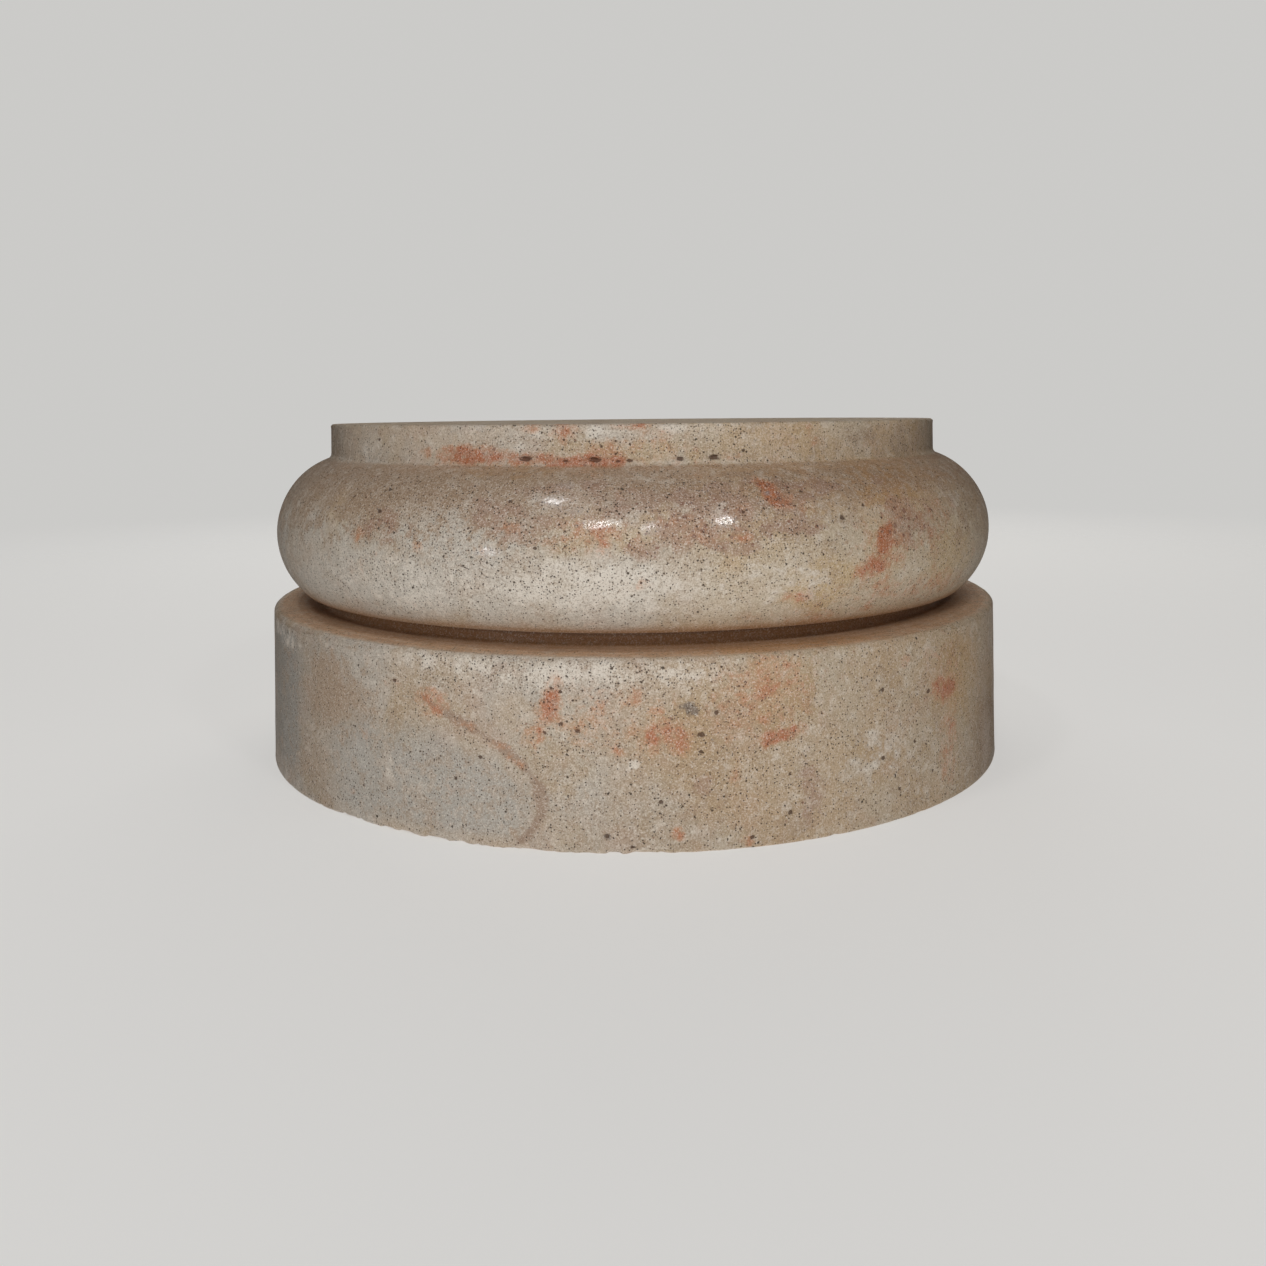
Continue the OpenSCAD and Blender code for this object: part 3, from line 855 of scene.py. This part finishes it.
def makeLimestone(c):
    material = emptyMaterial("limestone")
    p = Patterns()
    tone = weatheredAndShadedTone(p, c, levelFaceTone(p, c, groundTone(p, c)))
    tone = speckledTone(p, c, stainedTone(p, c, tone))

    fine, middling, wide, rare = poreHoles(p)
    pit = p.spot("pitPlaceA", 0.60, 1.05, 1.1).atLeast(p.spot("pitPlaceB", 0.60, 1.05, 1.1)) * 0.92
    hole = fine.atLeast(middling * 0.95).atLeast(wide * 0.92).atLeast(rare).atLeast(pit)
    # painted shade: pores and pits painted dark inside, red-brown where rust stains them
    holeShadeTone = blend(p.rust.clamped(), blend(pit, c["pore"], c["pitBrown"]), c["redPore"])
    tone = blend(hole * 0.93, tone, holeShadeTone)

    # rubbed places are smooth, with a faint ripple, and carry a faint bluish-white painted highlight
    shine = p.spot("shinePlaceA", 0.35, 1.15, 1.6).atLeast(p.spot("shinePlaceB", 0.35, 1.15, 1.6))
    tone = blend(shine * 0.16, tone, c["glintPaint"])
    sand = (p.dust - 0.5) * 0.08 + (p.grain - 0.5) * 0.16 + (p.lines - 0.5) * 0.12
    height = sand * (1 - shine * 0.9) - fine * 0.2 - middling * 0.35 - wide * 0.45 - rare * 0.6 - pit * 0.7
    height = height + ((p.fleck - 0.5) * 0.35 + (p.mottle - 0.5) * 0.8) * (1 - shine * 0.75)
    height = height + shine * (clouds(p.far, 6, 3, 0.55) - 0.5) * 0.34
    bump = Wire.node("ShaderNodeBump", {}, {"Strength": 0.8, "Distance": 0.001, "Height": height})

    waxed = rise(0.44, 0.66, clouds(p.place, 22, 4, 0.6) + p.olive * 0.08 + (p.grain - 0.5) * 0.5)
    rough = c["roughness"] + (p.fleck - 0.5) * 0.30 + hole * 0.4 - waxed * 0.16
    rough = rough - shine * (c["roughness"] - c["shine"]) * rise(0.28, 0.46, p.grain)
    shader = Wire.node("ShaderNodeBsdfPrincipled", {}, {
        "Base Color": tone, "Roughness": rough.atLeast(c["shine"]).atMost(1.0), "Normal": bump,
        "Specular IOR Level": c["specular"], "IOR": 1.5})
    Wire.node("ShaderNodeOutputMaterial", {}, {"Surface": shader})
    return material


stone = buildStone(stoneBase)
stone.data.materials.append(makeLimestone(limestone))
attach(stone, "root")
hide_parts("column_base")
print("limestone ready")


studio = {
    "floor": (0.46, 0.455, 0.445), "lift": 0.42, "bounce": 0.04, "frontBounce": 1.03,
    "backdrop": (0.60, 0.595, 0.58), "ambient": 0.07,
    "glow": (1.0, 0.99, 0.97), "bright": (0, -0.85, 0),     # the floor's light and its brightest place
    "floorRadius": 3.2, "floorSides": 96, "fadeFrom": 0.7, "fadeTo": 2.2,
}


def makeFloorPaint(c):
    # pale, bright in front of the stone so that it lights it from below, and clear far out
    material = emptyMaterial("paleFloor")
    place = Wire.node("ShaderNodeTexCoord", {}, {}, "Object")
    matt = Wire.node("ShaderNodeBsdfDiffuse", {}, {"Color": c["floor"]})
    ahead = Wire.node("ShaderNodeVectorMath", {"operation": "DISTANCE"}, {0: place, 1: c["bright"]}, "Value")
    bounce = c["bounce"] + (1 - rise(0.15, 1.0, ahead)) * c["frontBounce"]
    seen = Wire.node("ShaderNodeLightPath", {}, {}, "Is Camera Ray")
    strength = seen * c["lift"] + (1 - seen) * bounce
    light = Wire.node("ShaderNodeVectorMath", {"operation": "SCALE"}, {0: c["glow"], "Scale": strength})
    glow = Wire.node("ShaderNodeEmission", {}, {"Color": light, "Strength": 1.0})
    paint = Wire.node("ShaderNodeAddShader", {}, {0: matt, 1: glow})
    clear = Wire.node("ShaderNodeBsdfTransparent")
    fade = rise(c["fadeFrom"], c["fadeTo"], reachOf(place))
    both = Wire.node("ShaderNodeMixShader", {}, {0: fade, 1: paint, 2: clear})
    Wire.node("ShaderNodeOutputMaterial", {}, {"Surface": both})
    return material


def makeFloor(c):
    sides = c["floorSides"]
    turn = np.arange(sides) / sides * 2 * pi
    ring = np.stack([c["floorRadius"] * np.cos(turn), c["floorRadius"] * np.sin(turn), 0 * turn], -1)
    corners = np.concatenate([ring, [[0, 0, 0]]])
    edge = np.arange(sides)
    faces = np.stack([np.full(sides, sides), edge, (edge + 1) % sides], -1)
    mesh = bpy.data.meshes.new("floor")
    mesh.from_pydata(corners.tolist(), [], faces.tolist())
    mesh.materials.append(makeFloorPaint(c))
    floor = bpy.data.objects.new("floor", mesh)
    bpy.context.scene.collection.objects.link(floor)
    return floor


def makeWorld(c):
    world = bpy.data.worlds.new("studio")
    bpy.context.scene.world = world
    world.use_nodes = True
    world.node_tree.nodes.clear()
    Wire.tree = world.node_tree
    seen = Wire.node("ShaderNodeLightPath", {}, {}, "Is Camera Ray")
    backdrop = Wire.node("ShaderNodeBackground", {}, {"Color": c["backdrop"], "Strength": 1.0})
    glow = Wire.node("ShaderNodeBackground", {}, {"Color": (1.0, 0.98, 0.95), "Strength": c["ambient"]})
    both = Wire.node("ShaderNodeMixShader", {}, {0: seen, 1: glow, 2: backdrop})
    Wire.node("ShaderNodeOutputWorld", {}, {"Surface": both})


def softbox(name, at, aim, width, high, power, colour, glossy=True):
    lamp = bpy.data.lights.new(name, "AREA")
    lamp.shape, lamp.size, lamp.size_y = "RECTANGLE", width, high
    lamp.energy, lamp.color = power, colour
    piece = bpy.data.objects.new(name, lamp)
    piece.location = at
    piece.rotation_euler = (Vector(aim) - Vector(at)).to_track_quat("-Z", "Y").to_euler()
    piece.visible_camera = False
    piece.visible_glossy = glossy
    bpy.context.scene.collection.objects.link(piece)
    return piece


# name, place, aimed at, width, height, power, colour, and whether the stone mirrors it
lights = [
    ("key", (-0.10, -2.1, 1.10), (0, 0, 0.12), 0.8, 0.8, 2.2, (1.0, 0.985, 0.96)),
    ("strip", (-0.12, -1.85, 1.40), (0, -0.2, 0.2), 0.62, 0.28, 11.0, (1.0, 0.995, 0.985)),
    ("glintRight", (0.84, -1.57, 1.44), (0, -0.2, 0.2), 0.22, 0.22, 3.6, (1.0, 1.0, 1.0)),
    ("glintHigh", (-0.60, -0.78, 2.0), (0, -0.2, 0.2), 0.20, 0.20, 2.8, (1.0, 1.0, 1.0)),
    ("glintLow", (-1.32, -1.70, 0.35), (0, -0.2, 0.16), 0.18, 0.18, 2.0, (1.0, 1.0, 1.0)),
    ("back", (0.1, 2.8, 1.3), (0, 0, 0.12), 1.6, 1.2, 26.0, (1.0, 0.97, 0.93), False),
    ("left", (-1.3, 2.7, 1.1), (0, 0, 0.12), 1.2, 1.0, 12.0, (0.95, 0.98, 1.0), False),
    ("right", (1.3, 2.7, 1.1), (0, 0, 0.12), 1.2, 1.0, 12.0, (1.0, 0.95, 0.88), False),
]

cameraPlace = {
    "back": 3.4,           # distance from the axis, in plinth radii
    "above": 0.024,        # height over the bed, in plinth radii
    "lens": 33.24, "sensor": 36.0, "roll": -0.57,
    "shiftX": 0.001, "shiftY": -0.1742,
}


def makeCamera(c):
    radius = (stoneHigh.x - stoneLow.x) / 2
    data = bpy.data.cameras.new("camera")
    data.lens, data.sensor_width = c["lens"], c["sensor"]
    data.shift_x, data.shift_y = c["shiftX"], c["shiftY"]
    data.dof.use_dof = False
    camera = bpy.data.objects.new("camera", data)
    bpy.context.scene.collection.objects.link(camera)
    at = Matrix.Translation((0, -c["back"] * radius, stoneHigh.z + c["above"] * radius))
    level = Matrix.Rotation(radians(90), 4, "X")
    camera.matrix_world = at @ level @ Matrix.Rotation(radians(c["roll"]), 4, "Z")
    bpy.context.scene.camera = camera


makeFloor(studio)
makeWorld(studio)
for light in lights:
    softbox(*light)
makeCamera(cameraPlace)
bpy.context.scene.view_settings.view_transform = "Standard"
print("studio ready")
